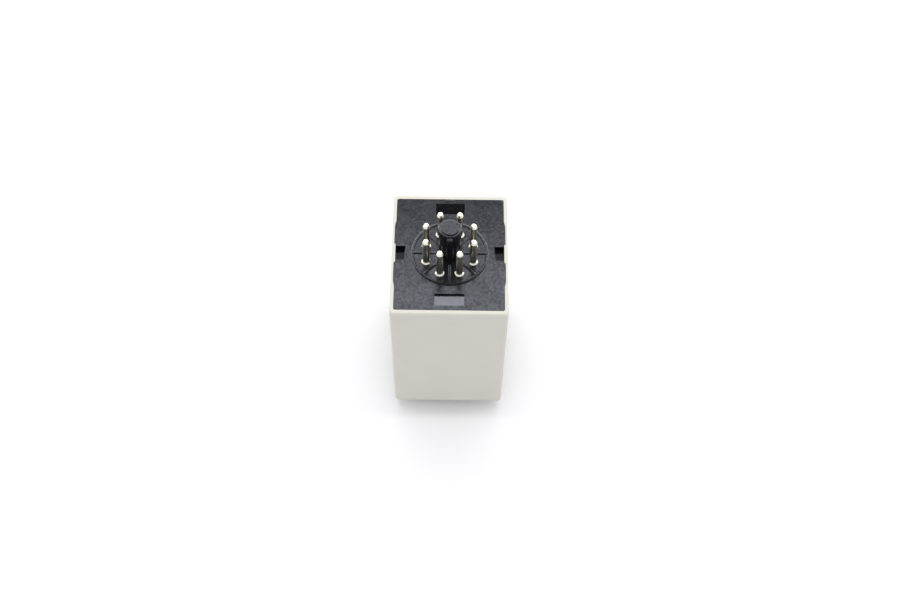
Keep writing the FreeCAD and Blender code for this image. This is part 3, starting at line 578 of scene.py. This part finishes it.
def make_camera():
    """The photograph's camera: its directions first, then its place from the aim."""
    aim = Vector((0, 0, Z_RIM))
    flat = math.cos(CAMERA_ELEVATION)
    back = Vector((
        math.sin(CAMERA_AZIMUTH) * flat,
        -math.cos(CAMERA_AZIMUTH) * flat,
        math.sin(CAMERA_ELEVATION),
    ))
    level = (-back).cross(Vector((0, 0, 1))).normalized()
    raised = level.cross(-back)
    right = level * math.cos(CAMERA_ROLL) + raised * math.sin(CAMERA_ROLL)
    up = raised * math.cos(CAMERA_ROLL) - level * math.sin(CAMERA_ROLL)
    data = bpy.data.cameras.new("camera")
    data.lens = LENS_MM
    data.sensor_width = SENSOR_MM
    camera = bpy.data.objects.new("camera", data)
    turn = Matrix((right, up, back)).transposed().to_4x4()
    place = aim + back * CAMERA_DISTANCE + right * CAMERA_ASIDE + up * CAMERA_LIFT
    camera.matrix_world = Matrix.Translation(place) @ turn
    bpy.context.scene.collection.objects.link(camera)
    bpy.context.scene.camera = camera


def add_lamp(name, placing, mirrored):
    """A rectangular lamp turned to the plug plate. Reflections show it if it is mirrored."""
    elevation, distance, aside, width, height, radiance = placing
    data = bpy.data.lights.new(name, "AREA")
    data.shape = "RECTANGLE"
    data.size = width
    data.size_y = height
    data.energy = radiance * math.pi * width * height
    lamp = bpy.data.objects.new(name, data)
    toward = Vector((0, math.cos(elevation), math.sin(elevation)))
    lamp.location = Vector((aside, 0, Z_RIM)) + toward * distance
    lamp.rotation_euler = toward.to_track_quat("Z", "Y").to_euler()
    lamp.visible_camera = False
    lamp.visible_glossy = mirrored
    bpy.context.scene.collection.objects.link(lamp)


def light_paths(tree):
    """Two switches: what a mirror shows, and what is seen plainly, in a mirror or through glass."""
    path = tree.nodes.new("ShaderNodeLightPath").outputs
    seen = math_node(tree, "MAXIMUM", path["Is Camera Ray"], path["Is Glossy Ray"])
    return path["Is Glossy Ray"], math_node(tree, "MAXIMUM", seen, path["Is Transmission Ray"])


def make_world():
    """A white surround, with a dark ceiling and a bright back in reflections only."""
    world = bpy.data.worlds.new("studio")
    bpy.context.scene.world = world
    world.use_nodes = True
    tree = world.node_tree
    mirrored, seen = light_paths(tree)
    toward = tree.nodes.new("ShaderNodeTexCoord").outputs["Generated"]
    facing = tree.nodes.new("ShaderNodeVectorMath")
    facing.operation = "DOT_PRODUCT"
    tree.links.new(toward, facing.inputs[0])
    facing.inputs[1].default_value = CEILING_TOWARD
    upward = facing.outputs["Value"]
    dark = ranged(tree, upward, CEILING_EDGE, CEILING_FULL, 0.0, CEILING_WHITE - 1, True)
    axes = tree.nodes.new("ShaderNodeSeparateXYZ")
    tree.links.new(toward, axes.inputs[0])
    behind = ranged(tree, axes.outputs["Y"], BACK_START, BACK_FULL, 0.0, BACK_WHITE - 1, True)
    low = ranged(tree, axes.outputs["Z"], BACK_TOP, BACK_EDGE, 1.0, 0.0, True)
    change = math_node(tree, "ADD", dark, math_node(tree, "MULTIPLY", behind, low))
    level = math_node(tree, "ADD", 1.0, math_node(tree, "MULTIPLY", change, mirrored))
    strength = math_node(tree, "MULTIPLY", level, ranged(tree, seen, 0.0, 1.0, AMBIENT, 1.0))
    background = tree.nodes["Background"]
    background.inputs["Color"].default_value = (1.0, 1.0, 1.0, 1.0)
    tree.links.new(strength, background.inputs["Strength"])


def make_floor():
    """A pale floor that keeps the object's shadow and goes on as white as the surround."""
    bm = bmesh.new()
    bmesh.ops.create_grid(bm, x_segments=1, y_segments=1, size=FLOOR_SIZE / 2)
    floor = bpy.data.objects.new("floor", to_mesh("floor", bm))
    bpy.context.scene.collection.objects.link(floor)
    material = bpy.data.materials.new("floor_paper")
    material.use_nodes = True
    tree = material.node_tree
    shader = tree.nodes["Principled BSDF"]
    shader.inputs["Base Color"].default_value = (*tone(*FLOOR_TONE), 1.0)
    shader.inputs["Roughness"].default_value = FLOOR_ROUGHNESS
    shader.inputs["Specular IOR Level"].default_value = FLOOR_GLOSS
    place = tree.nodes.new("ShaderNodeNewGeometry").outputs["Position"]
    away = tree.nodes.new("ShaderNodeVectorMath")
    away.operation = "LENGTH"
    tree.links.new(place, away.inputs[0])
    glow = ranged(tree, away.outputs["Value"], GLOW_START, GLOW_FULL, 0.0, FLOOR_GLOW, True)
    seen = light_paths(tree)[1]
    shader.inputs["Emission Color"].default_value = (1.0, 1.0, 1.0, 1.0)
    tree.links.new(math_node(tree, "MULTIPLY", glow, seen), shader.inputs["Emission Strength"])
    floor.data.materials.append(material)


looks = dress_nodes()
for moulding, (width, angle) in EDGE_ROUNDS.items():
    soften(moulding, width, angle)
black_print = print_black()
add_dial_ticks(black_print)
add_dial_numbers(black_print)
add_pointer_paint(pointer_white())
add_mould_marks(looks["plug_black"])
make_camera()
add_lamp("key", KEY, True)
add_lamp("top", TOP, False)
make_world()
make_floor()
bpy.context.scene.view_settings.view_transform = "Standard"
